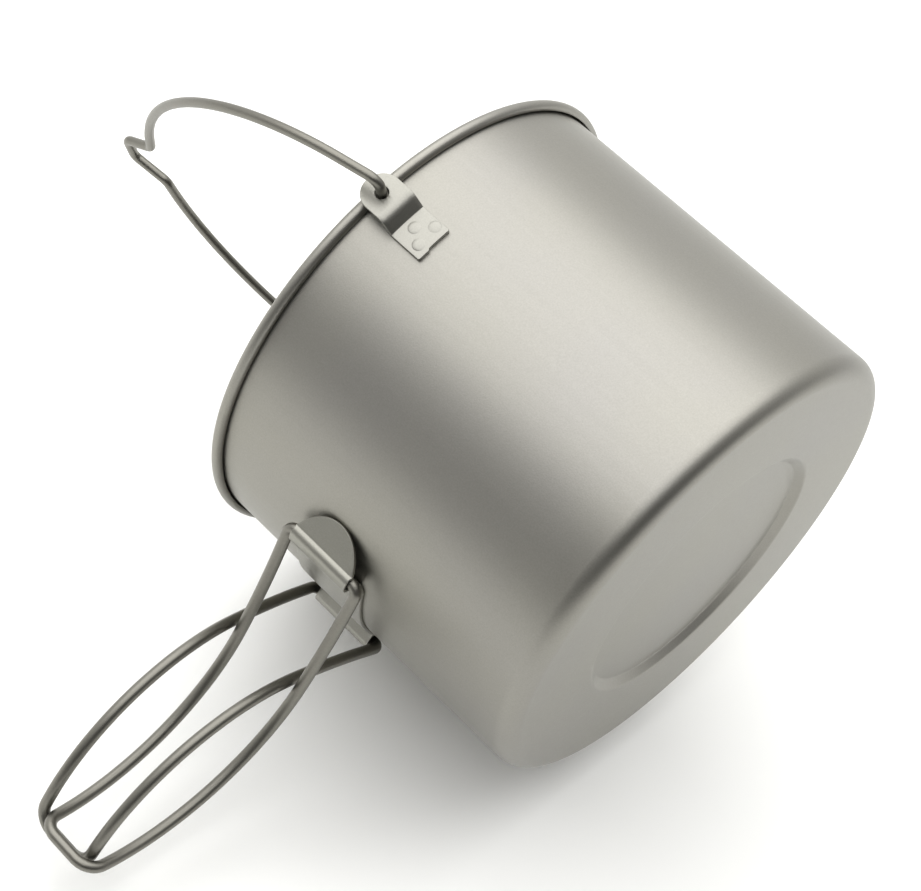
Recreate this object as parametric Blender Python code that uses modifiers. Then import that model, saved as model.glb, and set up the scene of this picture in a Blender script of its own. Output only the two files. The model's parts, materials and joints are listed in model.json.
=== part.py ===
"""Deep drawn camping pot with a swinging bail and two folding wire handles.

Metres, +Z up along the pot's axis. The origin is the centre of the stamped disc under the base,
+X points out through the handle bracket and the bail turns about an axis along Y.
"""

import math

import bmesh
import bpy
from mathutils import Matrix, Vector

# Pot, heights from the ring that it stands on
WALL_RADIUS = 0.0650
SHEET = 0.0006
POT_HEIGHT = 0.1030
BASE_FILLET = 0.0050
DISC_RADIUS = 0.0346
DISC_RAMP = 0.0024
DISC_DEPTH = 0.0019
ROLL_RADIUS = 0.0015
ROLL_END_ANGLE = math.radians(-100)
POT_STEPS = 64

# The ring that the pot stands on lies below the origin, which is on the stamped disc
STAND_Z = -DISC_DEPTH
CLEARANCE = 0.0003

# Ears of the bail, one strip each
EAR_WIDTH = 0.0102
EAR_SHEET = 0.0010
EAR_FOOT_Z = STAND_Z + 0.0824
EAR_STEP_Z = STAND_Z + 0.0919
EAR_STEP_RISE = 0.0026
EAR_STAND_OFF = 0.0013
HOLE_Z = STAND_Z + 0.0991
HOLE_RADIUS = 0.0017

# Bail
BAIL_RADIUS = 0.0013
BAIL_HALF_WIDTH = 0.0752
BAIL_BEND = 0.0030
ARCH_FOOT = 0.0120
ARCH_HEIGHT = 0.0758
ARCH_POWER = 1.9
ARCH_STEPS = 22
NOTCH_START = 0.0130
NOTCH_HALF_FOOT = 0.0092
NOTCH_FOOT = 0.0872
NOTCH_HALF_TOP = 0.0042
NOTCH_TOP = 0.0970
NOTCH_BEND = 0.0030
BAIL_TILT = math.radians(10.5)

# Bracket of the folding handles
BRACKET_Z = STAND_Z + 0.0620
BRACKET_HALF_HEIGHT = 0.0115
BRACKET_SHEET = 0.0008
BRACKET_STRAIGHT = 0.0200
BRACKET_END = 0.0132
WING_START = math.radians(60)
WING_END_ANGLE = math.radians(31)
HINGE_RADIUS = 0.0688
HINGE_ANGLE = math.radians(22.2)
TUNNEL_HALF_LENGTH = 0.0100
TUNNEL_CLEARANCE = 0.0003
BRACKET_STEPS = 12

# Folding handles
HANDLE_RADIUS = 0.0015
HANDLE_LENGTH = 0.1076
NECK_LENGTH = 0.0350
NECK_CURVE = 0.1900
GRIP_CURVE = 0.0477
HALF_SPREAD_AT_HINGE = 0.0119
HALF_SPREAD_AT_TIP = 0.0085
HINGE_BEND = 0.0025
TIP_BEND = 0.0050
HANDLE_OFFSET = 0.00185
PIN_END_GAP = 0.0010
BEND_STEPS = 5
LEG_STEPS = 22
TIP_ASIDE = 0.0028

TITANIUM = (0.40, 0.39, 0.35)
WIRE_TITANIUM = (0.33, 0.32, 0.29)


def clear_scene():
    for thing in list(bpy.data.objects):
        bpy.data.objects.remove(thing, do_unlink=True)


def collection(name):
    made = bpy.data.collections.new(name)
    bpy.context.scene.collection.children.link(made)
    return made


def metal(name, colour, roughness):
    material = bpy.data.materials.new(name)
    material.use_nodes = True
    shader = material.node_tree.nodes["Principled BSDF"]
    shader.inputs["Base Color"].default_value = (*colour, 1.0)
    shader.inputs["Metallic"].default_value = 1.0
    shader.inputs["Roughness"].default_value = roughness
    return material


def arc(centre, radius, start, end, steps):
    """Points of an arc in a plane, both ends included, angles in radians."""
    return [
        (
            centre[0] + radius * math.cos(start + (end - start) * i / steps),
            centre[1] + radius * math.sin(start + (end - start) * i / steps),
        )
        for i in range(steps + 1)
    ]


def rounded(corners, radii, steps):
    """A flat open line through the corners, each inner corner turned into an arc of its radius."""
    points = [corners[0]]
    for before, corner, after, radius in zip(corners, corners[1:], corners[2:], radii):
        here = Vector(corner)
        back = (Vector(before) - here).normalized()
        ahead = (Vector(after) - here).normalized()
        half = back.angle(ahead) / 2
        centre = here + (back + ahead).normalized() * radius / math.sin(half)
        first = here + back * radius / math.tan(half) - centre
        last = here + ahead * radius / math.tan(half) - centre
        turn = first.angle(last)
        for i in range(steps + 1):
            share = i / steps
            spoke = first * math.sin((1 - share) * turn) + last * math.sin(share * turn)
            points.append(tuple(centre + spoke / math.sin(turn)))
    return points + [corners[-1]]


def mesh_object(name, mesh, home, material):
    made = bpy.data.objects.new(name, mesh)
    home.objects.link(made)
    if material:
        made.data.materials.append(material)
    return made


def turned(name, profile, steps, home, material):
    """A closed solid of revolution about Z, from a profile in the XZ plane with both ends on the axis."""
    mesh = bpy.data.meshes.new(name)
    edges = [(i, i + 1) for i in range(len(profile) - 1)]
    mesh.from_pydata([(r, 0.0, z) for r, z in profile], edges, [])
    made = mesh_object(name, mesh, home, material)
    screw = made.modifiers.new("turn", "SCREW")
    screw.steps = steps
    screw.render_steps = steps
    screw.use_merge_vertices = True
    screw.merge_threshold = 0.0001
    screw.use_smooth_shade = True
    return made


def curve_data(name, flat):
    data = bpy.data.curves.new(name, "CURVE")
    data.dimensions = "2D" if flat else "3D"
    return data


def add_line(data, points, closed):
    spline = data.splines.new("POLY")
    spline.points.add(len(points) - 1)
    for target, point in zip(spline.points, points):
        target.co = (*point, 0.0, 1.0) if len(point) == 2 else (*point, 1.0)
    spline.use_cyclic_u = closed


def wire(name, points, radius, home, material):
    """A round wire along the points, with flat ends."""
    data = curve_data(name, flat=False)
    data.twist_mode = "MINIMUM"
    add_line(data, points, closed=False)
    data.bevel_depth = radius
    data.bevel_resolution = 2
    data.use_fill_caps = True
    data.materials.append(material)
    made = bpy.data.objects.new(name, data)
    home.objects.link(made)
    return made


def plate(name, outline, half_depth, home, material, matrix):
    """A flat outline in local XY, thickened along local Z, as a closed mesh."""
    data = curve_data(name + "_outline", flat=True)
    data.fill_mode = "BOTH"
    data.extrude = half_depth
    add_line(data, outline, closed=True)
    guide = bpy.data.objects.new(name + "_outline", data)
    home.objects.link(guide)
    guide.matrix_world = matrix
    bpy.context.view_layer.update()
    evaluated = guide.evaluated_get(bpy.context.evaluated_depsgraph_get())
    mesh = bpy.data.meshes.new_from_object(evaluated)
    form = bmesh.new()
    form.from_mesh(mesh)
    bmesh.ops.remove_doubles(form, verts=form.verts, dist=0.000001)
    bmesh.ops.recalc_face_normals(form, faces=form.faces)
    form.to_mesh(mesh)
    form.free()
    made = mesh_object(name, mesh, home, material)
    made.matrix_world = matrix
    bpy.data.objects.remove(guide, do_unlink=True)
    return made


def cylinder(name, radius, depth, steps, home, matrix):
    mesh = bpy.data.meshes.new(name)
    form = bmesh.new()
    bmesh.ops.create_cone(
        form, cap_ends=True, segments=steps, radius1=radius, radius2=radius, depth=depth
    )
    form.to_mesh(mesh)
    form.free()
    made = mesh_object(name, mesh, home, None)
    made.matrix_world = matrix
    return made


def block(name, size, home, matrix):
    mesh = bpy.data.meshes.new(name)
    form = bmesh.new()
    bmesh.ops.create_cube(form, size=1.0)
    bmesh.ops.scale(form, vec=size, verts=form.verts)
    form.to_mesh(mesh)
    form.free()
    made = mesh_object(name, mesh, home, None)
    made.matrix_world = matrix
    return made


def hide(cutter):
    cutter.hide_render = True
    cutter.display_type = "WIRE"


def combine(target, cutter, operation):
    hide(cutter)
    step = target.modifiers.new(operation.lower(), "BOOLEAN")
    step.operation = operation
    step.object = cutter
    step.solver = "EXACT"


def make_pot(parts, material):
    """One sheet: floor, stamped disc, rounded corner, straight wall and a rim rolled outwards."""
    inner = WALL_RADIUS - SHEET
    ramp_angle = math.atan2(DISC_DEPTH, DISC_RAMP)
    ramp_shift = SHEET * math.tan(ramp_angle / 2)
    disc_edge = DISC_RADIUS + DISC_RAMP
    fillet_centre = (WALL_RADIUS - BASE_FILLET, BASE_FILLET)
    roll_centre = (inner + ROLL_RADIUS, POT_HEIGHT - ROLL_RADIUS)
    floor = [
        (0.0, DISC_DEPTH + SHEET),
        (DISC_RADIUS + ramp_shift, DISC_DEPTH + SHEET),
        (disc_edge + ramp_shift, SHEET),
    ]
    inner_fillet = arc(fillet_centre, BASE_FILLET - SHEET, -math.pi / 2, 0.0, 5)
    roll_out = arc(roll_centre, ROLL_RADIUS, math.pi, ROLL_END_ANGLE, 12)
    roll_back = arc(roll_centre, ROLL_RADIUS - SHEET, ROLL_END_ANGLE, math.pi, 8)
    outer_fillet = arc(fillet_centre, BASE_FILLET, 0.0, -math.pi / 2, 6)
    underside = [(disc_edge, 0.0), (DISC_RADIUS, DISC_DEPTH), (0.0, DISC_DEPTH)]
    profile = floor + inner_fillet + roll_out + roll_back + outer_fillet + underside
    raised = [(r, z + STAND_Z) for r, z in profile]
    return turned("pot_body", raised, POT_STEPS, parts, material)


def ear_inner_radius():
    return WALL_RADIUS - SHEET + 2 * ROLL_RADIUS + EAR_STAND_OFF


def make_ear(name, side, parts, cutters, material):
    """A strip welded to the wall that steps out past the rolled rim, with a round drilled top."""
    foot = WALL_RADIUS + CLEARANCE
    tab = ear_inner_radius()
    half = EAR_WIDTH / 2
    top = HOLE_Z + half
    step_top = EAR_STEP_Z + EAR_STEP_RISE
    drop = EAR_SHEET * math.tan(math.atan2(tab - foot, EAR_STEP_RISE) / 2)
    section = [
        (foot, EAR_FOOT_Z),
        (foot + EAR_SHEET, EAR_FOOT_Z),
        (foot + EAR_SHEET, EAR_STEP_Z - drop),
        (tab + EAR_SHEET, step_top - drop),
        (tab + EAR_SHEET, top),
        (tab, top),
        (tab, step_top),
        (foot, EAR_STEP_Z),
    ]
    turn = Matrix.Rotation(side * math.pi / 2, 4, "Z")
    upright = turn @ Matrix.Rotation(math.pi / 2, 4, "X")
    ear = plate(name, section, half, parts, material, upright)
    outline = [(-half, EAR_FOOT_Z - half), (half, EAR_FOOT_Z - half)]
    outline += arc((0.0, HOLE_Z), half, 0.0, math.pi, 16)
    across = turn @ Matrix.Translation((tab, 0.0, 0.0)) @ Matrix.Rotation(math.pi / 2, 4, "Y")
    across = across @ Matrix.Rotation(math.pi / 2, 4, "Z")
    trim = plate(name + "_trim", outline, EAR_WIDTH, cutters, None, across)
    combine(ear, trim, "INTERSECT")
    bore = turn @ Matrix.Translation((tab, 0.0, HOLE_Z)) @ Matrix.Rotation(math.pi / 2, 4, "Y")
    hole = cylinder(name + "_hole", HOLE_RADIUS, EAR_WIDTH, 20, cutters, bore)
    combine(ear, hole, "DIFFERENCE")
    return ear


def bail_line():
    """Half of the bail in its own plane, from the end in the ear to the middle of the notch."""
    end = WALL_RADIUS - SHEET + 2 * ROLL_RADIUS + CLEARANCE
    line = [(end, 0.0)]
    bend_centre = (BAIL_HALF_WIDTH - BAIL_BEND, BAIL_BEND)
    line += arc(bend_centre, BAIL_BEND, -math.pi / 2, 0.0, BEND_STEPS)
    last = math.acos((NOTCH_START / BAIL_HALF_WIDTH) ** (ARCH_POWER / 2))
    for i in range(ARCH_STEPS + 1):
        angle = last * i / ARCH_STEPS
        across = BAIL_HALF_WIDTH * math.cos(angle) ** (2 / ARCH_POWER)
        line.append((across, ARCH_FOOT + ARCH_HEIGHT * math.sin(angle) ** (2 / ARCH_POWER)))
    notch = [
        line[-1],
        (NOTCH_HALF_FOOT, NOTCH_FOOT),
        (NOTCH_HALF_TOP, NOTCH_TOP),
        (0.0, NOTCH_TOP),
    ]
    return line + rounded(notch, [NOTCH_BEND, NOTCH_BEND], 4)[1:]


def make_bail(parts, material):
    """The bail, with its origin on the axis through both ears."""
    half = bail_line()
    line = half + [(-y, z) for y, z in reversed(half[:-1])]
    bail = wire("bail_wire", [(0.0, y, z) for y, z in line], BAIL_RADIUS, parts, material)
    bail.location = (0.0, 0.0, HOLE_Z)
    bail.rotation_euler = (0.0, BAIL_TILT, 0.0)
    return bail


def hinge_centre(side):
    """Centre of a handle's pin: the left one, at +Y, sits lower so that the two can cross."""
    return Vector((
        HINGE_RADIUS * math.cos(HINGE_ANGLE),
        side * HINGE_RADIUS * math.sin(HINGE_ANGLE),
        BRACKET_Z - side * HANDLE_OFFSET,
    ))


def bracket_line(lift):
    """One face of the bracket in plan, this far off its inner face, from its left end to its right one."""
    radius = WALL_RADIUS + CLEARANCE + lift
    around = HANDLE_RADIUS + TUNNEL_CLEARANCE + lift
    foot = math.asin(around / radius)
    pin = hinge_centre(1).to_2d()
    half = [(radius * math.cos(WING_END_ANGLE), radius * math.sin(WING_END_ANGLE))]
    half += arc(pin, around, HINGE_ANGLE + WING_START, HINGE_ANGLE - math.pi / 2, BRACKET_STEPS)
    half += arc((0.0, 0.0), radius, HINGE_ANGLE - foot, 0.0, BRACKET_STEPS)
    return half + [(x, -y) for x, y in reversed(half[:-1])]


def make_bracket(parts, cutters, material):
    """A curved plate that arches over each handle's pin, with a flat elliptical wing past each one."""
    section = bracket_line(BRACKET_SHEET) + bracket_line(0.0)[::-1]
    lift = Matrix.Translation((0.0, 0.0, BRACKET_Z))
    bracket = plate("handle_bracket", section, 2 * BRACKET_HALF_HEIGHT, parts, material, lift)
    quarter = math.pi / 2
    outline = [
        (BRACKET_STRAIGHT + BRACKET_END * x, BRACKET_HALF_HEIGHT * z - HANDLE_OFFSET)
        for x, z in arc((0.0, 0.0), 1.0, -quarter, quarter, 16)
    ]
    outline += [(-y, -z) for y, z in outline]
    across = lift @ Matrix.Translation((HINGE_RADIUS, 0.0, 0.0))
    across = across @ Matrix.Rotation(quarter, 4, "Y") @ Matrix.Rotation(quarter, 4, "Z")
    trim = plate("bracket_trim", outline, HINGE_RADIUS / 2, cutters, None, across)
    combine(bracket, trim, "INTERSECT")
    width = 2 * (HANDLE_RADIUS + TUNNEL_CLEARANCE + BRACKET_SHEET) + CLEARANCE
    off_middle = TUNNEL_HALF_LENGTH + BRACKET_HALF_HEIGHT / 2
    for side, label in ((1, "left"), (-1, "right")):
        facing = Matrix.Translation(hinge_centre(side)) @ Matrix.Rotation(side * HINGE_ANGLE, 4, "Z")
        for way, end in ((1, "top"), (-1, "bottom")):
            place = facing @ Matrix.Translation((0.0, 0.0, way * off_middle))
            size = (2 * width, width, BRACKET_HALF_HEIGHT)
            cut = block("tunnel_" + label + "_" + end, size, cutters, place)
            combine(bracket, cut, "DIFFERENCE")
    return bracket


def plan_point(s):
    """Where a handle's leg is in plan, s along it from the hinge: a nearly straight neck, then the grip."""
    neck_turn = min(s, NECK_LENGTH) / NECK_CURVE
    x = NECK_CURVE * math.sin(neck_turn)
    y = NECK_CURVE * (1 - math.cos(neck_turn))
    rest = max(s - NECK_LENGTH, 0.0) / GRIP_CURVE
    x += GRIP_CURVE * (math.sin(neck_turn + rest) - math.sin(neck_turn))
    y += GRIP_CURVE * (math.cos(neck_turn) - math.cos(neck_turn + rest))
    return x, y


def rest_turn():
    """Turn of a handle about its hinge at which its tip lies against the other handle's tip."""
    tip_x, tip_y = plan_point(HANDLE_LENGTH)
    reach = math.hypot(tip_x, tip_y)
    sideways = TIP_ASIDE - HINGE_RADIUS * math.sin(HINGE_ANGLE)
    return math.asin(sideways / reach) - math.atan2(tip_y, tip_x)


def make_handle(name, side, parts, material):
    """A U of wire with both ends turned in towards each other as the hinge pin."""
    loop = [
        (0.0, PIN_END_GAP / 2),
        (0.0, HALF_SPREAD_AT_HINGE),
        (HANDLE_LENGTH, HALF_SPREAD_AT_TIP),
        (HANDLE_LENGTH, 0.0),
    ]
    upper = rounded(loop, [HINGE_BEND, TIP_BEND], BEND_STEPS)
    leg_start = Vector(upper[BEND_STEPS + 1])
    leg_end = Vector(upper[BEND_STEPS + 2])
    leg = [tuple(leg_start.lerp(leg_end, i / LEG_STEPS)) for i in range(1, LEG_STEPS)]
    half = upper[: BEND_STEPS + 2] + leg + upper[BEND_STEPS + 2 :]
    whole = half + [(s, -z) for s, z in reversed(half[:-1])]
    points = []
    for s, z in whole:
        x, y = plan_point(s)
        points.append((x, side * y, z))
    handle = wire(name, points, HANDLE_RADIUS, parts, material)
    handle.location = hinge_centre(side)
    handle.rotation_euler = (0.0, 0.0, side * rest_turn())
    return handle


def main():
    clear_scene()
    parts = collection("camping_pot")
    cutters = collection("cutters")
    make_pot(parts, metal("blasted_titanium", TITANIUM, 0.42))
    make_ear("bail_ear_left", 1, parts, cutters, metal("ear_left_titanium", TITANIUM, 0.4))
    make_ear("bail_ear_right", -1, parts, cutters, metal("ear_right_titanium", TITANIUM, 0.4))
    make_bail(parts, metal("bail_titanium", WIRE_TITANIUM, 0.35))
    make_bracket(parts, cutters, metal("bracket_titanium", TITANIUM, 0.4))
    make_handle("handle_wire_left", 1, parts, metal("left_wire_titanium", WIRE_TITANIUM, 0.35))
    make_handle("handle_wire_right", -1, parts, metal("right_wire_titanium", WIRE_TITANIUM, 0.35))


main()
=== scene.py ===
import json
import math

import bmesh
import bpy
from bpy.props import (
    FloatProperty,
    FloatVectorProperty,
    IntProperty,
    PointerProperty,
    StringProperty,
)
from mathutils import Matrix, Vector


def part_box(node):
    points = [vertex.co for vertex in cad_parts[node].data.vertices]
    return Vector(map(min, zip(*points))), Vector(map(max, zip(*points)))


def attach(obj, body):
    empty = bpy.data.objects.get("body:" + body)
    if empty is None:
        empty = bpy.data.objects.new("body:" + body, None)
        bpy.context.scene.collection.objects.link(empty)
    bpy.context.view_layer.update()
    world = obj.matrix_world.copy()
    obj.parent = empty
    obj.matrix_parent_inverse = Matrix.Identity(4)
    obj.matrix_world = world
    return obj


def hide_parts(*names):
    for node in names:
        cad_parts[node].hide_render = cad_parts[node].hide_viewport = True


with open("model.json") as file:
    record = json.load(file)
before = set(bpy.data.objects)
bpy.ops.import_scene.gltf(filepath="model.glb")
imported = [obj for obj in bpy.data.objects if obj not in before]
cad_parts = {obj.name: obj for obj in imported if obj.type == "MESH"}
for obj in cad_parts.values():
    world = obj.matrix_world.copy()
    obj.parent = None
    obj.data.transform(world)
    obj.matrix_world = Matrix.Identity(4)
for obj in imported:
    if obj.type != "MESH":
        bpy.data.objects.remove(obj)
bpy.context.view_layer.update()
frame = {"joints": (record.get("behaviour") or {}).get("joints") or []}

bl_info = {
    "name": "Titanium Camping Pot",
    "version": (1, 0, 0),
    "blender": (4, 5, 0),
    "location": "3D View > Sidebar > Camping Pot",
    "description": "Builds a thin titanium pot with a wire bail and folding wire handles",
    "category": "Add Mesh",
}

POT_LOW, POT_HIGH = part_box("pot_body")
JOINTS = {joint["name"]: joint for joint in frame["joints"]}
BAIL_PIVOT = Vector(JOINTS["bail_swing"]["pos_m"])
LEFT_HINGE = Vector(JOINTS["handle_left_fold"]["pos_m"])
RIGHT_HINGE = Vector(JOINTS["handle_right_fold"]["pos_m"])

LENGTH = {"subtype": "DISTANCE", "unit": "LENGTH", "min": 0.0}
ANGLE = {"subtype": "ANGLE", "unit": "ROTATION"}
MILLIMETRE = 0.001

# An edge that turns more than this is shaded as a crease; a weld's flattened rim isn't one
CREASE = math.radians(50)
WELD_CREASE = math.radians(80)
# Softened edge of a sheared sheet, and what keeps a welded sheet's back off the wall
SOFT_EDGE = 0.12 * MILLIMETRE
WALL_GAP = 0.05 * MILLIMETRE
BEND_STEPS = 8
WIRE_SIDES = 24

SHEET_METAL = "blasted titanium sheet"
STRIP_METAL = "blasted titanium strip"
WIRE_METAL = "blasted titanium wire"


# Sizes and colours that a user would change


class PotSizes(bpy.types.PropertyGroup):
    """The drawn body of the pot."""

    wall_radius: FloatProperty(
        name="Wall radius", description="Outside of the straight wall", default=0.065, **LENGTH
    )
    sheet: FloatProperty(
        name="Sheet", description="Thickness of the drawn sheet", default=0.0006, **LENGTH
    )
    base_fillet: FloatProperty(
        name="Base corner", description="Outer radius where wall meets base", default=0.005,
        **LENGTH
    )
    disc_radius: FloatProperty(
        name="Disc radius", description="Flat of the disc stamped into the base", default=0.0346,
        **LENGTH
    )
    disc_ramp: FloatProperty(
        name="Disc ramp", description="Width of the slope round the disc", default=0.0024, **LENGTH
    )
    disc_bend: FloatProperty(
        name="Disc bend", description="Radius at the slope's top and foot", default=0.0016, **LENGTH
    )
    roll_radius: FloatProperty(
        name="Rim roll", description="Outer radius of the rolled rim", default=0.0015, **LENGTH
    )
    roll_end: FloatProperty(
        name="Roll end", description="Where the rolled edge stops, under the rim",
        default=math.radians(-100), **ANGLE
    )
    steps: IntProperty(
        name="Steps", description="Steps round the pot", default=256, min=32, max=512
    )


class EarSizes(bpy.types.PropertyGroup):
    """The two welded strips that the bail turns in."""

    width: FloatProperty(name="Width", description="Width of a strip", default=0.0102, **LENGTH)
    sheet: FloatProperty(
        name="Sheet", description="Thickness of a strip", default=0.001, **LENGTH
    )
    foot: FloatProperty(
        name="Foot", description="Height of a strip's foot above the standing ring",
        default=0.0824, **LENGTH
    )
    step: FloatProperty(
        name="Step", description="Height where a strip starts to lean out", default=0.0917, **LENGTH
    )
    step_rise: FloatProperty(
        name="Step rise", description="Height that the lean takes", default=0.0026, **LENGTH
    )
    step_bend: FloatProperty(
        name="Step bend", description="Bend radius at both ends of the lean", default=0.0013,
        **LENGTH
    )
    stand_off: FloatProperty(
        name="Stand-off", description="Gap from the rolled rim to the strip", default=0.0013,
        **LENGTH
    )
    hole_radius: FloatProperty(
        name="Hole radius", description="Hole that the bail turns in", default=0.0017, **LENGTH
    )
    notch: FloatProperty(
        name="Shear step", description="Small step left in the foot's sheared edge",
        default=0.0004, **LENGTH
    )


class WeldSizes(bpy.types.PropertyGroup):
    """The spot welds of the ears and of the handle bracket."""

    radius: FloatProperty(
        name="Radius", description="Radius of a spot weld's bump", default=0.0019, **LENGTH
    )
    rise: FloatProperty(
        name="Rise", description="Height of a spot weld's bump", default=0.00045, **LENGTH
    )
    sink: FloatProperty(
        name="Sink", description="How far a bump is sunk into its sheet", default=0.00025, **LENGTH
    )


class BailSizes(bpy.types.PropertyGroup):
    """The arched carrying wire."""

    wire_radius: FloatProperty(
        name="Wire radius", description="Radius of the bail's wire", default=0.0013, **LENGTH
    )
    half_width: FloatProperty(
        name="Half width", description="From the middle to a leg's centre", default=0.0752, **LENGTH
    )
    bend: FloatProperty(
        name="End bend", description="Radius of the bend into an ear", default=0.003, **LENGTH
    )
    arch_foot: FloatProperty(
        name="Arch foot", description="Height above the pivot where the arch starts",
        default=0.012, **LENGTH
    )
    arch_height: FloatProperty(
        name="Arch height", description="Height of the arch from its foot", default=0.0758, **LENGTH
    )
    tilt: FloatProperty(
        name="Tilt", description="Lean towards the handles at rest", default=math.radians(10.5),
        **ANGLE
    )


class BracketSizes(bpy.types.PropertyGroup):
    """The welded plate with a tunnel for each handle's pin."""

    sheet: FloatProperty(
        name="Sheet", description="Thickness of the plate", default=0.0008, **LENGTH
    )
    half_height: FloatProperty(
        name="Half height", description="Half of the plate's height", default=0.0113, **LENGTH
    )
    half_angle: FloatProperty(
        name="Half angle", description="From the middle to a rounded end, round the wall",
        default=math.radians(30.4), **ANGLE
    )
    end_angle: FloatProperty(
        name="Rounding", description="Share of the half angle that the rounded end takes",
        default=math.radians(12.7), **ANGLE
    )
    tunnel_half_length: FloatProperty(
        name="Tunnel half length", description="Half of a tunnel's length", default=0.0096, **LENGTH
    )
    tunnel_foot: FloatProperty(
        name="Tunnel foot", description="Half width of a tunnel where it leaves the wall",
        default=0.0031, **LENGTH
    )
    tunnel_top: FloatProperty(
        name="Tunnel top", description="From the pin's axis to the sheet above it",
        default=0.0018, **LENGTH
    )
    crest_out: FloatProperty(
        name="Crest out", description="From the pin to the crest's corner on the wing's side",
        default=0.0015, **LENGTH
    )
    foot_bend: FloatProperty(
        name="Foot bend", description="Bend radius where a tunnel leaves the wall",
        default=0.0018, **LENGTH
    )
    valley_out: FloatProperty(
        name="Valley", description="From the pin to the valley between tunnel and wing",
        default=0.0023, **LENGTH
    )
    valley_bend: FloatProperty(
        name="Valley bend", description="Bend radius in the valley", default=0.0016, **LENGTH
    )
    notch_in: FloatProperty(
        name="Notch in", description="Sheet cut short for the wire, towards the middle",
        default=0.0072, **LENGTH
    )
    notch_out: FloatProperty(
        name="Notch out", description="Sheet cut short for the wire, towards the wing",
        default=0.0024, **LENGTH
    )


class HandleSizes(bpy.types.PropertyGroup):
    """The two folding wire handles."""

    wire_radius: FloatProperty(
        name="Wire radius", description="Radius of a handle's wire", default=0.0015, **LENGTH
    )
    length: FloatProperty(
        name="Length", description="Length of a handle along its curve", default=0.1076, **LENGTH
    )
    neck: FloatProperty(
        name="Neck", description="Length of the nearly straight part", default=0.035, **LENGTH
    )
    neck_curve: FloatProperty(
        name="Neck curve", description="Radius of the neck in plan", default=0.19, **LENGTH
    )
    grip_curve: FloatProperty(
        name="Grip curve", description="Radius of the grip in plan", default=0.0477, **LENGTH
    )
    spread_hinge: FloatProperty(
        name="Spread at hinge", description="Half height of the loop at its pin",
        default=0.0119, **LENGTH
    )
    spread_tip: FloatProperty(
        name="Spread at tip", description="Half height of the loop at its tip",
        default=0.0085, **LENGTH
    )
    hinge_bend: FloatProperty(
        name="Hinge bend", description="Bend radius into the pin", default=0.0025, **LENGTH
    )
    tip_bend: FloatProperty(
        name="Tip bend", description="Bend radius at the tip", default=0.005, **LENGTH
    )
    tip_aside: FloatProperty(
        name="Tip aside", description="From the mid-plane to a closed handle's tip",
        default=0.0028, **LENGTH
    )


class Finishes(bpy.types.PropertyGroup):
    """Colours as sRGB hex values, and the grain of the blasted metal."""

    sheet_warm: StringProperty(
        name="Sheet, warm", description="Blasted sheet where its oxide is warm", default="959389"
    )
    sheet_cool: StringProperty(
        name="Sheet, cool", description="Blasted sheet where its oxide is cool", default="918F8C"
    )
    fitting: StringProperty(
        name="Fittings", description="Blasted ears and bracket", default="97968C"
    )
    wire: StringProperty(
        name="Wire", description="Blasted wire of bail and handles", default="7C7A73"
    )
    floor: StringProperty(
        name="Floor", description="Pale paper floor", default="FAFAF8"
    )
    grain: FloatProperty(
        name="Grain", description="Spacing of the blasted pits as drawn", default=0.0004, **LENGTH
    )


class StageSizes(bpy.types.PropertyGroup):
    """Floor, lights and camera."""

    floor_azimuth: FloatProperty(
        name="Floor side", description="Side of the pot that the floor is on",
        default=math.radians(-64.3), **ANGLE
    )
    floor_distance: FloatProperty(
        name="Floor distance", description="From the pot's axis to the floor", default=0.0815,
        **LENGTH
    )
    floor_half: FloatProperty(
        name="Floor half size", description="Half of the floor's width", default=1.5, **LENGTH
    )
    camera_place: FloatVectorProperty(
        name="Camera", description="Where the camera is", subtype="TRANSLATION", unit="LENGTH",
        default=(0.12845, 0.53505, -0.13732),
    )
    camera_turn: FloatVectorProperty(
        name="Camera turn", description="The camera's rotation", subtype="EULER",
        unit="ROTATION",
        default=(math.radians(118.63), math.radians(43.542), math.radians(-171.22)),
    )
    lens: FloatProperty(
        name="Lens", description="Focal length in millimetres", default=91.02, min=1.0
    )


# Nodes


def add(tree, kind, inputs=(), **settings):
    """Adds a node with its settings; an input takes a value, or another node's output to link."""
    node = tree.nodes.new(kind)
    for name, value in settings.items():
        setattr(node, name, value)
    for key, value in dict(inputs).items():
        if isinstance(value, bpy.types.NodeSocket):
            tree.links.new(value, node.inputs[key])
        else:
            node.inputs[key].default_value = value
    return node


def linear(colour):
    """An sRGB hex value as linear red, green, blue and alpha."""
    channels = [int(colour[i:i + 2], 16) / 255 for i in (0, 2, 4)]
    return [c / 12.92 if c <= 0.04045 else ((c + 0.055) / 1.055) ** 2.4 for c in channels] + [1.0]


def per(length):
    """The scale of a pattern that repeats about once in this length, in metres."""
    return 1.0 / length


# Materials


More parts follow.
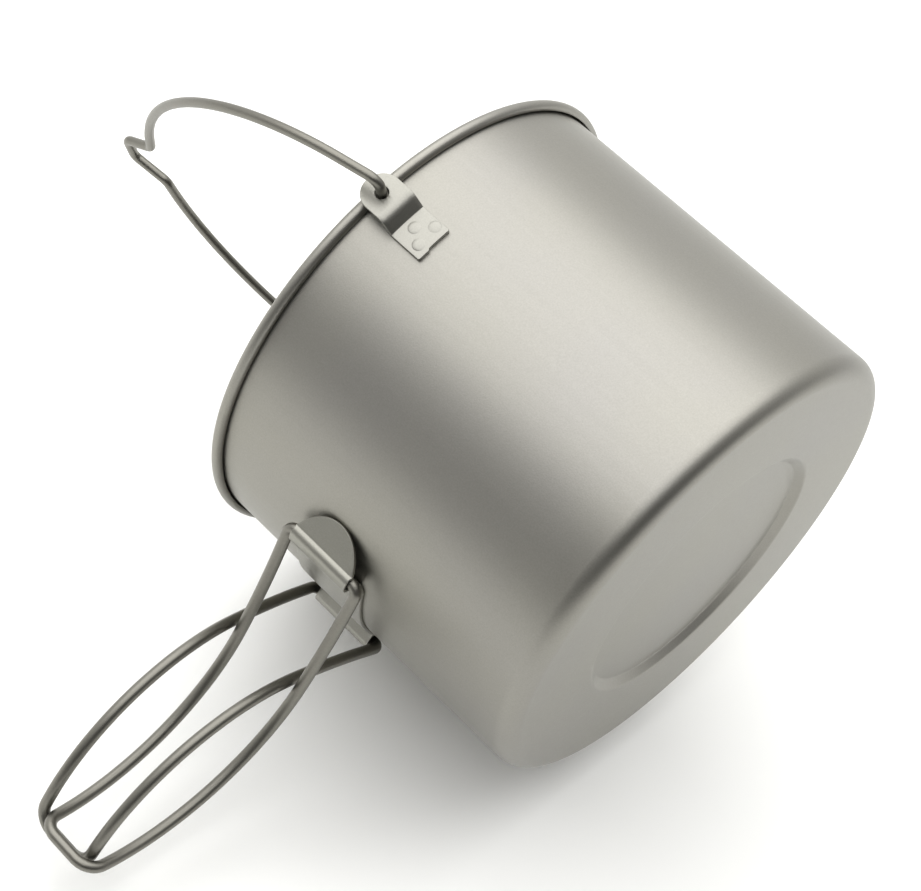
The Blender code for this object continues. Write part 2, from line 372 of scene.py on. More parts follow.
def blasted_titanium(name, warm, cool, roughness, grain, relief):
    """Commercially pure titanium sheet, bead blasted after it was formed.

    Blasting leaves fine pits that spread each highlight wide and soft. The thin oxide drifts
    between a warm and a cool grey over a few centimetres, and the draw leaves faint streaks
    along the wall.
    """
    material = bpy.data.materials.new(name)
    material.use_nodes = True
    tree = material.node_tree
    shader = tree.nodes["Principled BSDF"]
    shader.inputs["Metallic"].default_value = 1.0
    place = add(tree, "ShaderNodeTexCoord").outputs["Object"]
    # The oxide's tint changes over about 45 mm
    drift = add(tree, "ShaderNodeTexNoise", {
        "Vector": place, "Scale": per(45 * MILLIMETRE), "Detail": 2.0, "Roughness": 0.4,
    })
    tint = add(tree, "ShaderNodeMix", {
        "Factor": drift.outputs["Fac"], 6: linear(warm), 7: linear(cool),
    }, data_type="RGBA")
    # Streaks are 1.6 mm apart round the wall and 60 mm long
    along = add(tree, "ShaderNodeMapping", {
        "Vector": place,
        "Scale": (per(1.6 * MILLIMETRE), per(1.6 * MILLIMETRE), per(60 * MILLIMETRE)),
    })
    streaks = add(tree, "ShaderNodeTexNoise", {
        "Vector": along.outputs["Vector"], "Scale": 1.0, "Detail": 2.0, "Roughness": 0.5,
    })
    # The real pits are about 0.05 mm apart, too fine to show, so they are drawn coarser
    pits = add(tree, "ShaderNodeTexNoise", {
        "Vector": place, "Scale": per(grain), "Detail": 3.0, "Roughness": 0.65,
    })
    shade = add(tree, "ShaderNodeMapRange", {
        "Value": pits.outputs["Fac"], "From Min": 0.3, "From Max": 0.7,
        "To Min": 0.93, "To Max": 1.04,
    })
    colour = add(tree, "ShaderNodeVectorMath", {
        0: tint.outputs[2], "Scale": shade.outputs["Result"],
    }, operation="SCALE")
    tree.links.new(colour.outputs["Vector"], shader.inputs["Base Color"])
    spread = add(tree, "ShaderNodeMapRange", {
        "Value": streaks.outputs["Fac"], "From Min": 0.3, "From Max": 0.7,
        "To Min": roughness - 0.01, "To Max": roughness + 0.01,
    })
    tree.links.new(spread.outputs["Result"], shader.inputs["Roughness"])
    bump = add(tree, "ShaderNodeBump", {
        "Height": pits.outputs["Fac"], "Strength": relief, "Distance": 0.05 * MILLIMETRE,
    })
    tree.links.new(bump.outputs["Normal"], shader.inputs["Normal"])
    return material


def paper_floor(name, colour):
    """A roll of matt white paper, seen only from the side that the pot lies on."""
    material = bpy.data.materials.new(name)
    material.use_nodes = True
    tree = material.node_tree
    shader = tree.nodes["Principled BSDF"]
    shader.inputs["Base Color"].default_value = linear(colour)
    shader.inputs["Roughness"].default_value = 0.9
    shader.inputs["Specular IOR Level"].default_value = 0.1
    side = add(tree, "ShaderNodeNewGeometry").outputs["Backfacing"]
    clear = add(tree, "ShaderNodeBsdfTransparent")
    mixed = add(tree, "ShaderNodeMixShader", {
        0: side, 1: shader.outputs["BSDF"], 2: clear.outputs["BSDF"],
    })
    tree.links.new(mixed.outputs["Shader"], tree.nodes["Material Output"].inputs["Surface"])
    return material


# Lines in a plane


def arc(centre, radius, start, end, steps):
    """Points of an arc, both ends included, angles in radians."""
    return [
        (
            centre[0] + radius * math.cos(start + (end - start) * i / steps),
            centre[1] + radius * math.sin(start + (end - start) * i / steps),
        )
        for i in range(steps + 1)
    ]


def rounded(corners, radii, steps):
    """An open line through the corners, each inner corner turned into an arc of its radius."""
    points = [tuple(corners[0])]
    for before, corner, after, radius in zip(corners, corners[1:], corners[2:], radii):
        here = Vector(corner)
        back = (Vector(before) - here).normalized()
        ahead = (Vector(after) - here).normalized()
        half = back.angle(ahead) / 2
        centre = here + (back + ahead).normalized() * radius / math.sin(half)
        first = here + back * radius / math.tan(half) - centre
        last = here + ahead * radius / math.tan(half) - centre
        turn = first.angle(last)
        for i in range(steps + 1):
            share = i / steps
            spoke = first * math.sin((1 - share) * turn) + last * math.sin(share * turn)
            points.append(tuple(centre + spoke / math.sin(turn)))
    return points + [tuple(corners[-1])]


class Track:
    """A line in a plane that gives its point and its left-hand normal at any length along it."""

    def __init__(self, points):
        self.points = [Vector(point) for point in points]
        self.marks = [0.0]
        for first, second in zip(self.points, self.points[1:]):
            self.marks.append(self.marks[-1] + (second - first).length)
        self.length = self.marks[-1]
        runs = [(b - a).normalized() for a, b in zip(self.points, self.points[1:])]
        self.headings = [runs[0]]
        self.headings += [(a + b).normalized() for a, b in zip(runs, runs[1:])]
        self.headings.append(runs[-1])

    def at(self, length):
        """Point and normal; past either end the line runs on straight."""
        i = 0
        while i < len(self.points) - 2 and self.marks[i + 1] < length:
            i += 1
        span = self.marks[i + 1] - self.marks[i]
        share = (length - self.marks[i]) / span
        point = self.points[i].lerp(self.points[i + 1], share)
        inside = min(max(share, 0.0), 1.0)
        heading = self.headings[i].lerp(self.headings[i + 1], inside).normalized()
        return point, Vector((-heading.y, heading.x))


# Geometry Nodes trees


def new_tree(name, sockets):
    """An empty tree with a geometry going in and out, and these named inputs."""
    tree = bpy.data.node_groups.new(name, "GeometryNodeTree")
    tree.interface.new_socket(
        name="Geometry", in_out="INPUT", socket_type="NodeSocketGeometry"
    )
    for socket, kind in sockets:
        tree.interface.new_socket(name=socket, in_out="INPUT", socket_type=kind)
    tree.interface.new_socket(
        name="Geometry", in_out="OUTPUT", socket_type="NodeSocketGeometry"
    )
    return tree, add(tree, "NodeGroupInput").outputs


def close_tree(tree, given, mesh, crease):
    """Smooths the mesh but for its sharp edges, realizes it and gives it its material."""
    smooth = add(tree, "GeometryNodeSetShadeSmooth", {"Geometry": mesh})
    angle = add(tree, "GeometryNodeInputMeshEdgeAngle").outputs["Unsigned Angle"]
    sharp = add(tree, "FunctionNodeCompare", {0: angle, 1: crease}, operation="GREATER_THAN")
    creased = add(tree, "GeometryNodeSetShadeSmooth", {
        "Geometry": smooth.outputs["Geometry"], "Selection": sharp.outputs["Result"],
        "Shade Smooth": False,
    }, domain="EDGE")
    real = add(tree, "GeometryNodeRealizeInstances", {"Geometry": creased.outputs["Geometry"]})
    painted = add(tree, "GeometryNodeSetMaterial", {
        "Geometry": real.outputs["Geometry"], "Material": given["Material"],
    })
    add(tree, "NodeGroupOutput", {"Geometry": painted.outputs["Geometry"]})
    return tree


def turned_sheet_tree():
    """Turns a profile round the pot's axis and welds it where it meets the axis."""
    tree, given = new_tree("turned_sheet", (
        ("Steps", "NodeSocketInt"),
        ("Guide Radius", "NodeSocketFloat"),
        ("Weld Distance", "NodeSocketFloat"),
        ("Material", "NodeSocketMaterial"),
    ))
    guide = add(tree, "GeometryNodeCurvePrimitiveCircle", {
        "Resolution": given["Steps"], "Radius": given["Guide Radius"],
    })
    profile = add(tree, "GeometryNodeMeshToCurve", {"Mesh": given["Geometry"]})
    swept = add(tree, "GeometryNodeCurveToMesh", {
        "Curve": guide.outputs["Curve"], "Profile Curve": profile.outputs["Curve"],
    })
    welded = add(tree, "GeometryNodeMergeByDistance", {
        "Geometry": swept.outputs["Mesh"], "Distance": given["Weld Distance"],
    })
    return close_tree(tree, given, welded.outputs["Geometry"], CREASE)


def bent_wire_tree():
    """A round wire along a path, closed at both ends."""
    tree, given = new_tree("bent_wire", (
        ("Wire Radius", "NodeSocketFloat"),
        ("Sides", "NodeSocketInt"),
        ("Material", "NodeSocketMaterial"),
    ))
    path = add(tree, "GeometryNodeMeshToCurve", {"Mesh": given["Geometry"]})
    section = add(tree, "GeometryNodeCurvePrimitiveCircle", {
        "Resolution": given["Sides"], "Radius": given["Wire Radius"],
    })
    swept = add(tree, "GeometryNodeCurveToMesh", {
        "Curve": path.outputs["Curve"], "Profile Curve": section.outputs["Curve"],
        "Fill Caps": True,
    })
    return close_tree(tree, given, swept.outputs["Mesh"], CREASE)


def spot_weld_tree():
    """A low round bump on each point, facing along the point's own aim."""
    tree, given = new_tree("spot_welds", (
        ("Weld Radius", "NodeSocketFloat"),
        ("Weld Rise", "NodeSocketFloat"),
        ("Material", "NodeSocketMaterial"),
    ))
    ball = add(tree, "GeometryNodeMeshUVSphere", {"Segments": 24, "Rings": 12, "Radius": 1.0})
    size = add(tree, "ShaderNodeCombineXYZ", {
        "X": given["Weld Radius"], "Y": given["Weld Radius"], "Z": given["Weld Rise"],
    })
    aim = add(tree, "GeometryNodeInputNamedAttribute", {"Name": "aim"}, data_type="FLOAT_VECTOR")
    turn = add(tree, "FunctionNodeAlignRotationToVector", {"Vector": aim.outputs["Attribute"]})
    placed = add(tree, "GeometryNodeInstanceOnPoints", {
        "Points": given["Geometry"], "Instance": ball.outputs["Mesh"],
        "Rotation": turn.outputs["Rotation"], "Scale": size.outputs["Vector"],
    })
    real = add(tree, "GeometryNodeRealizeInstances", {"Geometry": placed.outputs["Instances"]})
    return close_tree(tree, given, real.outputs["Geometry"], WELD_CREASE)


def plain_mesh(guide):
    """The evaluated shape of a guide object as a plain mesh; the guide itself is removed."""
    bpy.context.scene.collection.objects.link(guide)
    evaluated = guide.evaluated_get(bpy.context.evaluated_depsgraph_get())
    mesh = bpy.data.meshes.new_from_object(evaluated)
    bpy.data.objects.remove(guide, do_unlink=True)
    return mesh


def grown(name, tree, mesh, values):
    """The tree's result on this mesh, as a plain mesh in a new object at the origin."""
    guide = bpy.data.objects.new(name + "_guide", mesh)
    modifier = guide.modifiers.new("tree", "NODES")
    modifier.node_group = tree
    for item in tree.interface.items_tree:
        if item.in_out == "INPUT" and item.name in values:
            modifier[item.identifier] = values[item.name]
    result = plain_mesh(guide)
    if not result.polygons:
        raise RuntimeError(name + " came out empty")
    return shown(name, result)


def shown(name, mesh):
    """A new object of this mesh in the scene, at the origin."""
    piece = bpy.data.objects.new(name, mesh)
    bpy.context.scene.collection.objects.link(piece)
    return piece


def seat(piece, body, slot, *nodes):
    """Hides the CAD nodes that the piece replaces and attaches the piece to the body it moves with;
    slot is not used.
    """
    if nodes:
        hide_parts(*nodes)
    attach(piece, body)


def line_mesh(name, points):
    """A mesh of edges only, from each point to the next."""
    mesh = bpy.data.meshes.new(name)
    mesh.from_pydata(points, [(i, i + 1) for i in range(len(points) - 1)], [])
    return mesh


# Bent sheet


def flat_blank(name, outlines, sheet):
    """A sheet in XY with softened edges, its back face at Z 0; the first outline is outside."""
    data = bpy.data.curves.new(name, "CURVE")
    data.dimensions = "2D"
    data.fill_mode = "BOTH"
    data.extrude = sheet / 2 - SOFT_EDGE
    data.bevel_depth = SOFT_EDGE
    data.bevel_resolution = 1
    data.offset = -SOFT_EDGE
    for outline in outlines:
        spline = data.splines.new("POLY")
        spline.points.add(len(outline) - 1)
        for target, point in zip(spline.points, outline):
            target.co = (point[0], point[1], 0.0, 1.0)
        spline.use_cyclic_u = True
    mesh = plain_mesh(bpy.data.objects.new(name, data))
    mesh.transform(Matrix.Translation((0.0, 0.0, sheet / 2)))
    return mesh


def levelled(name, mesh):
    """The mesh with its normals weighted by area, so that flats shade flat up to their edges."""
    guide = bpy.data.objects.new(name + "_guide", mesh)
    guide.modifiers.new("normals", "WEIGHTED_NORMAL").keep_sharp = True
    return plain_mesh(guide)


def bent_strip(name, outlines, sheet, cuts, place):
    """Cuts a flat blank across at each mark, then puts every corner where place says."""
    mesh = flat_blank(name, outlines, sheet)
    form = bmesh.new()
    form.from_mesh(mesh)
    bmesh.ops.remove_doubles(form, verts=form.verts, dist=0.002 * MILLIMETRE)
    for axis, marks in enumerate(cuts):
        normal = Vector((0.0, 0.0, 0.0))
        normal[axis] = 1.0
        for mark in marks:
            everything = form.verts[:] + form.edges[:] + form.faces[:]
            bmesh.ops.bisect_plane(
                form, geom=everything, dist=0.001 * MILLIMETRE, plane_co=normal * mark,
                plane_no=normal,
            )
    bmesh.ops.recalc_face_normals(form, faces=form.faces)
    for vertex in form.verts:
        vertex.co = place(*vertex.co)
    form.to_mesh(mesh)
    form.free()
    mesh.shade_smooth()
    mesh.set_sharp_from_angle(angle=CREASE)
    mesh.materials.clear()
    mesh.materials.append(bpy.data.materials[STRIP_METAL])
    return shown(name, levelled(name, mesh))


def marks_between(low, high, spacing):
    """Even marks from low to high, both included, about this far apart."""
    count = max(1, round((high - low) / spacing))
    return [low + (high - low) * i / count for i in range(count + 1)]


# Pieces


class CAMPPOT_OT_finishes(bpy.types.Operator):
    """Make the metals of the pot, its fittings and its wires"""

    bl_idname = "camppot.finishes"
    bl_label = "Finishes"

    def execute(self, context):
        tones = context.scene.camp_finishes
        # Warm and cool tone, roughness, and how deep the pits look
        metals = (
            (SHEET_METAL, tones.sheet_warm, tones.sheet_cool, 0.42, 0.5),
            (STRIP_METAL, tones.fitting, tones.sheet_cool, 0.38, 0.5),
            (WIRE_METAL, tones.wire, tones.wire, 0.38, 0.6),
        )
        for name, warm, cool, roughness, relief in metals:
            blasted_titanium(name, warm, cool, roughness, tones.grain, relief)
        return {"FINISHED"}


class CAMPPOT_OT_body(bpy.types.Operator):
    """Turn the drawn body with its rolled rim, rounded corner and stamped base"""

    bl_idname = "camppot.body"
    bl_label = "Pot body"

    def execute(self, context):
        size = context.scene.camp_pot
        inner = size.wall_radius - size.sheet
        stand = POT_LOW.z
        # The underside of the stamped disc is the frame's own Z 0
        disc = 0.0
        edge = size.disc_radius + size.disc_ramp
        turn = math.atan2(disc - stand, size.disc_ramp)
        shift = size.sheet * math.tan(turn / 2)
        roll_centre = (inner + size.roll_radius, POT_HIGH.z - size.roll_radius)
        fillet_centre = (size.wall_radius - size.base_fillet, stand + size.base_fillet)
        corner = size.base_fillet - size.sheet
        floor_line = rounded([
            (0.0, disc + size.sheet),
            (size.disc_radius + shift, disc + size.sheet),
            (edge + shift, stand + size.sheet),
            (fillet_centre[0], stand + size.sheet),
        ], [size.disc_bend, size.disc_bend - size.sheet], BEND_STEPS)[:-1]
        under_line = rounded([
            (fillet_centre[0], stand),
            (edge, stand),
            (size.disc_radius, disc),
            (0.0, disc),
        ], [size.disc_bend, size.disc_bend - size.sheet], BEND_STEPS)[1:]
        wall_steps = 12
        rim_low = roll_centre[1]
        inner_wall = [
            (inner, fillet_centre[1] + (rim_low - fillet_centre[1]) * i / wall_steps)
            for i in range(1, wall_steps)
        ]
        outer_wall = [(size.wall_radius, z) for _, z in reversed(inner_wall)]
        profile = (
            floor_line
            + arc(fillet_centre, corner, -math.pi / 2, 0.0, 12)
            + inner_wall
            + arc(roll_centre, size.roll_radius, math.pi, size.roll_end, 28)
            + arc(roll_centre, size.roll_radius - size.sheet, size.roll_end, math.pi, 20)
            + outer_wall
            + arc(fillet_centre, size.base_fillet, 0.0, -math.pi / 2, 16)
            + under_line
        )
        guide_radius = size.wall_radius
        points = [(r - guide_radius, -z, 0.0) for r, z in profile]
        values = {
            "Steps": size.steps,
            "Guide Radius": guide_radius,
            "Weld Distance": 0.01 * MILLIMETRE,
            "Material": bpy.data.materials[SHEET_METAL],
        }
        pot = grown("drawn_pot", turned_sheet_tree(), line_mesh("pot_profile", points), values)
        seat(pot, "pot", "blasted_sheet", "pot_body")
        return {"FINISHED"}


def spot_welds(name, spots, context):
    """One bump on each (place, aim) pair."""
    mesh = bpy.data.meshes.new(name)
    mesh.from_pydata([place for place, _ in spots], [], [])
    aims = mesh.attributes.new("aim", "FLOAT_VECTOR", "POINT")
    for item, (_, aim) in zip(aims.data, spots):
        item.vector = aim
    size = context.scene.camp_welds
    values = {
        "Weld Radius": size.radius,
        "Weld Rise": size.rise,
        "Material": bpy.data.materials[STRIP_METAL],
    }
    return grown(name, spot_weld_tree(), mesh, values)


class CAMPPOT_OT_ears(bpy.types.Operator):
    """Bend the two strips that the bail turns in and weld them on"""

    bl_idname = "camppot.ears"
    bl_label = "Bail ears"

    def execute(self, context):
        pot = context.scene.camp_pot
        ear = context.scene.camp_ears
        half = ear.width / 2
        foot_z = POT_LOW.z + ear.foot
        step_z = POT_LOW.z + ear.step
        wall = pot.wall_radius + WALL_GAP
        tab = POT_HIGH.x + ear.stand_off
        # The strip is laid out to a full width past the hole, and its rounded end takes half
        reach = ear.width
        side_view = rounded(
            [
                (wall, foot_z),
                (wall, step_z),
                (tab, step_z + ear.step_rise),
                (tab, BAIL_PIVOT.z + reach),
            ],
            [ear.step_bend, ear.step_bend + ear.sheet], BEND_STEPS,
        )
        track = Track(side_view)
        hole_at = track.length - reach
        bend_low = step_z - foot_z - ear.step_bend
        bend_high = track.length - (BAIL_PIVOT.z + reach - step_z - ear.step_rise) + ear.step_bend
        # The sheared foot has cut corners and its small step left of its middle
        split = -0.18 * ear.width
        lip = 0.3 * MILLIMETRE
        outline = [(-half, -ear.notch + lip), (-half + lip, -ear.notch), (split, -ear.notch)]
        outline += [(split + ear.notch, 0.0), (half - lip, 0.0), (half, lip)]
        outline += arc((0.0, hole_at), half, 0.0, math.pi, 32)
        hole = arc((0.0, hole_at), ear.hole_radius, 0.0, 2 * math.pi, 32)[:-1]
        cuts = (
            marks_between(-half, half, 1.2 * MILLIMETRE)[1:-1],
            marks_between(bend_low, bend_high, 0.3 * MILLIMETRE),
        )
        # Tangential and upward places of the three welds, from the strip's centre line and foot
        welds = ((-0.1, 6.3), (3.1, 3.0), (-2.3, 2.45))
        sides = (
            ("ear_strip_left", "ear_welds_left", "bail_ear_left", 1),
            ("ear_strip_right", "ear_welds_right", "bail_ear_right", -1),
        )
        for strip_name, weld_name, node, side in sides:
            out = Vector((0.0, side, 0.0))
            across = Vector((-side, 0.0, 0.0))

            def place(x, s, t):
                """Bends the strip along its track, and round the wall below the lean."""
                point, normal = track.at(s)
                hug = min(max((bend_high - s) / (bend_high - bend_low), 0.0), 1.0)
                radial = point.x - normal.x * t - hug * x * x / (2 * wall)
                return out * radial + across * x + Vector((0.0, 0.0, point.y - normal.y * t))

            strip = bent_strip(strip_name, [outline, hole], ear.sheet, cuts, place)
            seat(strip, "pot", "fitting_sheet", node)
            deep = ear.sheet - context.scene.camp_welds.sink
            spots = [(place(x * MILLIMETRE, s * MILLIMETRE, deep), out) for x, s in welds]
            bumps = spot_welds(weld_name, spots, context)
            seat(bumps, "pot", "fitting_sheet")
        return {"FINISHED"}


class CAMPPOT_OT_bail(bpy.types.Operator):
    """Bend the bail, from ear to ear, with the hook's notch at its top"""

    bl_idname = "camppot.bail"
    bl_label = "Bail"

    def execute(self, context):
        size = context.scene.camp_bail
        # The arch is a superellipse of this power, up to where the notch starts
        power = 1.9
        notch_start = 0.0130
        notch_foot, notch_top = (0.0092, 0.0872), (0.0042, 0.0970)
        notch_bend = 0.003
        pin_end = POT_HIGH.x + 0.3 * MILLIMETRE
        line = [(pin_end, 0.0)]
        centre = (size.half_width - size.bend, size.bend)
        line += arc(centre, size.bend, -math.pi / 2, 0.0, 12)
        last = math.acos((notch_start / size.half_width) ** (power / 2))
        arch_steps = 90
        for i in range(arch_steps + 1):
            angle = last * i / arch_steps
            line.append((
                size.half_width * math.cos(angle) ** (2 / power),
                size.arch_foot + size.arch_height * math.sin(angle) ** (2 / power),
            ))
        notch = [line[-1], notch_foot, notch_top, (0.0, notch_top[1])]
        line += rounded(notch, [notch_bend, notch_bend], 10)[1:]
        whole = line + [(-y, h) for y, h in reversed(line[:-1])]
        lean = Matrix.Translation(BAIL_PIVOT) @ Matrix.Rotation(size.tilt, 4, "Y")
        points = [lean @ Vector((0.0, y, h)) for y, h in whole]
        values = {
            "Wire Radius": size.wire_radius,
            "Sides": WIRE_SIDES,
            "Material": bpy.data.materials[WIRE_METAL],
        }
        bail = grown("carrying_bail", bent_wire_tree(), line_mesh("bail_path", points), values)
        seat(bail, "bail", "wire", "bail_wire")
        return {"FINISHED"}


class CAMPPOT_OT_bracket(bpy.types.Operator):
    """Form the plate that hugs the wall and arches over both handle pins"""

    bl_idname = "camppot.bracket"
    bl_label = "Handle bracket"

    def execute(self, context):
        pot = context.scene.camp_pot
        size = context.scene.camp_bracket
        wall = pot.wall_radius + WALL_GAP
        middle_z = (LEFT_HINGE.z + RIGHT_HINGE.z) / 2
        offset = (RIGHT_HINGE.z - LEFT_HINGE.z) / 2
        hinge_reach = math.hypot(LEFT_HINGE.x, LEFT_HINGE.y)
        hinge_angle = math.atan2(LEFT_HINGE.y, LEFT_HINGE.x)
        out = Vector((math.cos(hinge_angle), math.sin(hinge_angle)))
        along = Vector((-out.y, out.x))
        crest = out * (hinge_reach + size.tunnel_top)
        foot_angle = hinge_angle - size.tunnel_foot / wall
        flat = arc((0.0, 0.0), wall, 0.0, foot_angle, 16)
        tip = Vector((math.cos(size.half_angle), math.sin(size.half_angle))) * wall
        # From the foot towards the middle, over the pin, into the valley and out to the tip
        corners = [
            flat[-3],
            flat[-1],
            crest - along * size.tunnel_top,
            crest + along * size.crest_out,
            out * hinge_reach + along * size.valley_out,
            tip,
        ]
        crest_bend = 0.94 * size.tunnel_top
        bends = [size.foot_bend, crest_bend, crest_bend, size.valley_bend]
        half = flat[:-2] + rounded(corners, bends, BEND_STEPS)[1:]
        track = Track([(x, -y) for x, y in reversed(half[1:])] + half)
        half_length = track.length / 2
        pin_at = min(
            marks_between(0.0, half_length, 0.1 * MILLIMETRE),
            key=lambda s: (track.at(half_length + s)[0] - crest).length,
        )
        round_from = size.half_angle - size.end_angle

        def edge_at(s, up):
            """The blank's edge above or below its middle, at a length from its centre."""
            spot = track.at(half_length + s)[0]
            azimuth = math.atan2(spot.y, spot.x)
            over = min(max(abs(azimuth) - round_from, 0.0) / size.end_angle, 1.0)
            reach = size.half_height * math.sqrt(1.0 - over * over)
            # The notches slope back out to the full height, seven along ten
            past = max(pin_at - size.notch_in - abs(s), abs(s) - pin_at - size.notch_out, 0.0)
            reach = min(reach, size.tunnel_half_length + 0.7 * past)
            # Each wing is centred on its own pin, and the middle between the two
            share = min(max(azimuth / hinge_angle, -1.0), 1.0)
            return up * reach - share * offset

        # Marks crowd together towards the rounded ends
        stops = set(marks_between(-half_length, half_length, 0.5 * MILLIMETRE))
        for way in (-1, 1):
            stops |= {way * half_length * (1 - 0.002 * i * i) for i in range(1, 5)}
        stops = sorted(stops)
        outline = [(s, edge_at(s, -1)) for s in stops]
        outline += [(s, edge_at(s, 1)) for s in reversed(stops)][1:-1]

        def place(s, z, t):
            """Bends the plate along its track in plan."""
            point, normal = track.at(half_length + s)
            spot = point - normal * t
            return Vector((spot.x, spot.y, middle_z + z))

        cuts = ([s - half_length for s in track.marks], ())
        plate = bent_strip("pin_bracket", [outline], size.sheet, cuts, place)
        seat(plate, "pot", "fitting_sheet", "handle_bracket")
        deep = size.sheet - context.scene.camp_welds.sink
        # Along and upward places of the four welds between the tunnels, from the middle
        welds = ((-12.0, -6.0), (-12.0, 7.5), (12.0, -7.5), (12.0, 6.0))
        spots = []
        for s, z in welds:
            here = place(s * MILLIMETRE, z * MILLIMETRE, deep)
            spots.append((here, Vector((here.x, here.y, 0.0)).normalized()))
        seat(spot_welds("bracket_welds", spots, context), "pot", "fitting_sheet")
        return {"FINISHED"}


class CAMPPOT_OT_handles(bpy.types.Operator):
    """Bend the two wire handles, each from its pin round its tip and back"""

    bl_idname = "camppot.handles"
    bl_label = "Folding handles"

    def execute(self, context):
        size = context.scene.camp_handles

        def in_plan(s):
            """A handle's place in plan: a nearly straight neck, then the grip's curve."""
            turn = min(s, size.neck) / size.neck_curve
            rest = max(s - size.neck, 0.0) / size.grip_curve
            x = size.neck_curve * math.sin(turn)
            x += size.grip_curve * (math.sin(turn + rest) - math.sin(turn))
            y = size.neck_curve * (1 - math.cos(turn))
            y += size.grip_curve * (math.cos(turn) - math.cos(turn + rest))
            return x, y

        tip = Vector(in_plan(size.length))
        closed = math.asin((size.tip_aside - LEFT_HINGE.y) / tip.length)
        closed -= math.atan2(tip.y, tip.x)
        bend_steps, leg_steps = 12, 90
        pin_end = 0.5 * MILLIMETRE
        upper = rounded(
            [
                (0.0, pin_end),
                (0.0, size.spread_hinge),
                (size.length, size.spread_tip),
                (size.length, 0.0),
            ],
            [size.hinge_bend, size.tip_bend], bend_steps,
        )
        leg_start = Vector(upper[bend_steps + 1])
        leg_end = Vector(upper[bend_steps + 2])
        leg = [tuple(leg_start.lerp(leg_end, i / leg_steps)) for i in range(1, leg_steps)]
        half = upper[:bend_steps + 2] + leg + upper[bend_steps + 2:]
        loop = half + [(s, -z) for s, z in reversed(half[:-1])]
        tree = bent_wire_tree()
        sides = (
            ("folding_handle_left", "handle_left", "handle_wire_left", LEFT_HINGE, 1),
            ("folding_handle_right", "handle_right", "handle_wire_right", RIGHT_HINGE, -1),
        )
        for name, body, node, hinge, side in sides:
            turn = Matrix.Translation(hinge) @ Matrix.Rotation(side * closed, 4, "Z")
            points = []
            for s, z in loop:
                x, y = in_plan(s)
                points.append(turn @ Vector((x, side * y, z)))
            values = {
                "Wire Radius": size.wire_radius,
                "Sides": WIRE_SIDES,
                "Material": bpy.data.materials[WIRE_METAL],
            }
            handle = grown(name, tree, line_mesh(name + "_path", points), values)
            seat(handle, body, "wire", node)
        return {"FINISHED"}


def softbox(name, place, target, width, power):
    """A square light, turned so that it faces the target."""
    data = bpy.data.lights.new(name, "AREA")
    data.energy = power
    data.shape = "SQUARE"
    data.size = width
    lamp = bpy.data.objects.new(name, data)
    lamp.location = place
    lamp.rotation_euler = (target - place).to_track_quat("-Z", "Y").to_euler()
    bpy.context.scene.collection.objects.link(lamp)


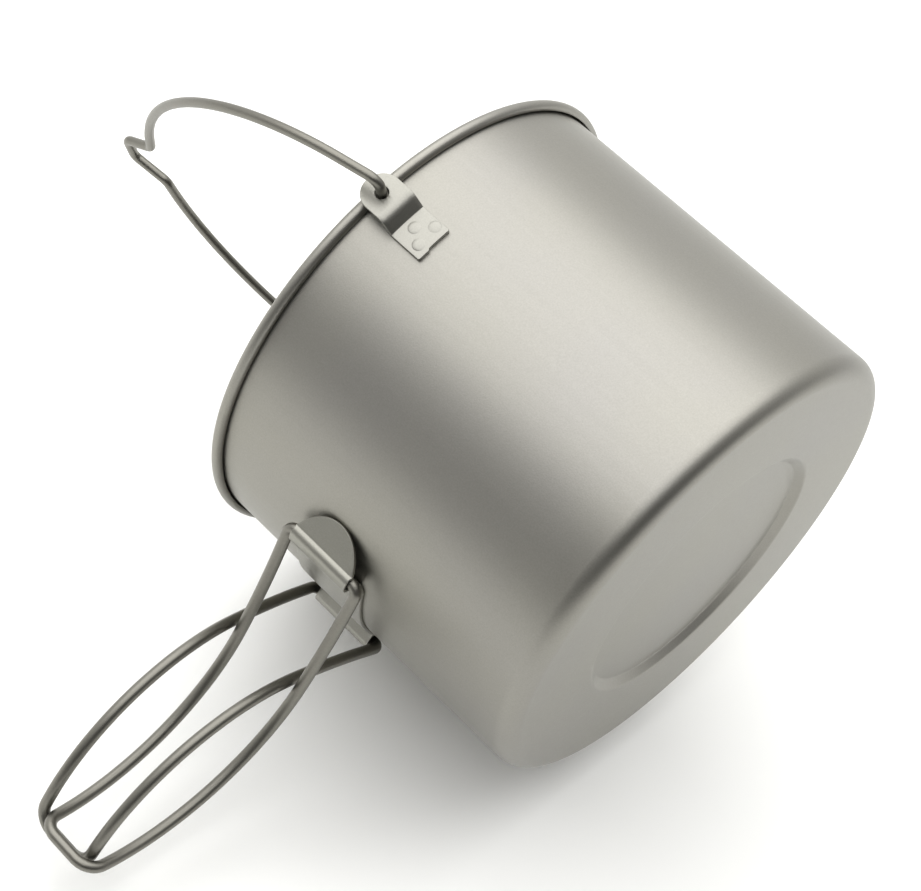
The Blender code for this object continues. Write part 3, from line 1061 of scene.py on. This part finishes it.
class CAMPPOT_OT_stage(bpy.types.Operator):
    """Lay the pot on its side on a pale floor, with soft light and the camera"""

    bl_idname = "camppot.stage"
    bl_label = "Stage"

    def execute(self, context):
        size = context.scene.camp_stage
        tones = context.scene.camp_finishes
        scene = context.scene
        down = Vector((math.cos(size.floor_azimuth), math.sin(size.floor_azimuth), 0.0))
        side = Vector((-down.y, down.x, 0.0))
        tall = Vector((0.0, 0.0, 1.0))
        middle = down * size.floor_distance + tall * (POT_HIGH.z / 2)
        form = bmesh.new()
        corners = [
            form.verts.new(middle + (side * i + tall * j) * size.floor_half)
            for i, j in ((-1, -1), (-1, 1), (1, 1), (1, -1))
        ]
        face = form.faces.new(corners)
        face.normal_update()
        if face.normal.dot(down) > 0:
            face.normal_flip()
        mesh = bpy.data.meshes.new("paper_floor")
        form.to_mesh(mesh)
        form.free()
        mesh.materials.append(paper_floor("white paper", tones.floor))
        shown("paper_floor", mesh)

        world = bpy.data.worlds.new("studio")
        world.use_nodes = True
        tree = world.node_tree
        sky = tree.nodes["Background"]
        way = add(tree, "ShaderNodeTexCoord").outputs["Generated"]
        # Bright above and past the pot's mouth, dark below its base
        bright = (0.9 * tall - 0.6 * side - 0.25 * down).normalized()
        lift = add(tree, "ShaderNodeVectorMath", {0: way, 1: bright}, operation="DOT_PRODUCT")
        glow = add(tree, "ShaderNodeMapRange", {
            "Value": lift.outputs["Value"], "From Min": -0.75, "From Max": 0.8,
            "To Min": 0.05, "To Max": 1.15,
        })
        sky.inputs["Color"].default_value = (1.0, 1.0, 0.985, 1.0)
        tree.links.new(glow.outputs["Result"], sky.inputs["Strength"])
        scene.world = world
        scene.view_settings.view_transform = "Standard"

        target = tall * (POT_HIGH.z / 2)
        softbox("overhead_softbox", target - down * 0.9 + tall * 0.15, target, 1.7, 16.5)

        data = bpy.data.cameras.new("camera")
        data.lens = size.lens
        data.sensor_width = 36.0
        data.sensor_fit = "HORIZONTAL"
        camera = bpy.data.objects.new("camera", data)
        camera.location = size.camera_place
        camera.rotation_euler = size.camera_turn
        scene.collection.objects.link(camera)
        scene.camera = camera
        return {"FINISHED"}


STEPS = (
    CAMPPOT_OT_finishes,
    CAMPPOT_OT_body,
    CAMPPOT_OT_ears,
    CAMPPOT_OT_bail,
    CAMPPOT_OT_bracket,
    CAMPPOT_OT_handles,
    CAMPPOT_OT_stage,
)

GROUPS = {
    "camp_pot": PotSizes,
    "camp_ears": EarSizes,
    "camp_welds": WeldSizes,
    "camp_bail": BailSizes,
    "camp_bracket": BracketSizes,
    "camp_handles": HandleSizes,
    "camp_finishes": Finishes,
    "camp_stage": StageSizes,
}


class CAMPPOT_PT_panel(bpy.types.Panel):
    """Sizes and steps of the camping pot"""

    bl_label = "Camping Pot"
    bl_idname = "CAMPPOT_PT_panel"
    bl_space_type = "VIEW_3D"
    bl_region_type = "UI"
    bl_category = "Camping Pot"

    def draw(self, context):
        for step in STEPS:
            self.layout.operator(step.bl_idname)
        for name, group in GROUPS.items():
            box = self.layout.box()
            box.label(text=group.__doc__)
            for prop in group.__annotations__:
                box.prop(getattr(context.scene, name), prop)


def register():
    for group in GROUPS.values():
        bpy.utils.register_class(group)
    for name, group in GROUPS.items():
        setattr(bpy.types.Scene, name, PointerProperty(type=group))
    for step in STEPS:
        bpy.utils.register_class(step)
    bpy.utils.register_class(CAMPPOT_PT_panel)


def unregister():
    bpy.utils.unregister_class(CAMPPOT_PT_panel)
    for step in reversed(STEPS):
        bpy.utils.unregister_class(step)
    for name, group in GROUPS.items():
        delattr(bpy.types.Scene, name)
        bpy.utils.unregister_class(group)


def main():
    register()
    bpy.ops.camppot.finishes()
    bpy.ops.camppot.body()
    bpy.ops.camppot.ears()
    bpy.ops.camppot.bail()
    bpy.ops.camppot.bracket()
    bpy.ops.camppot.handles()
    bpy.ops.camppot.stage()


if __name__ == "__main__":
    main()
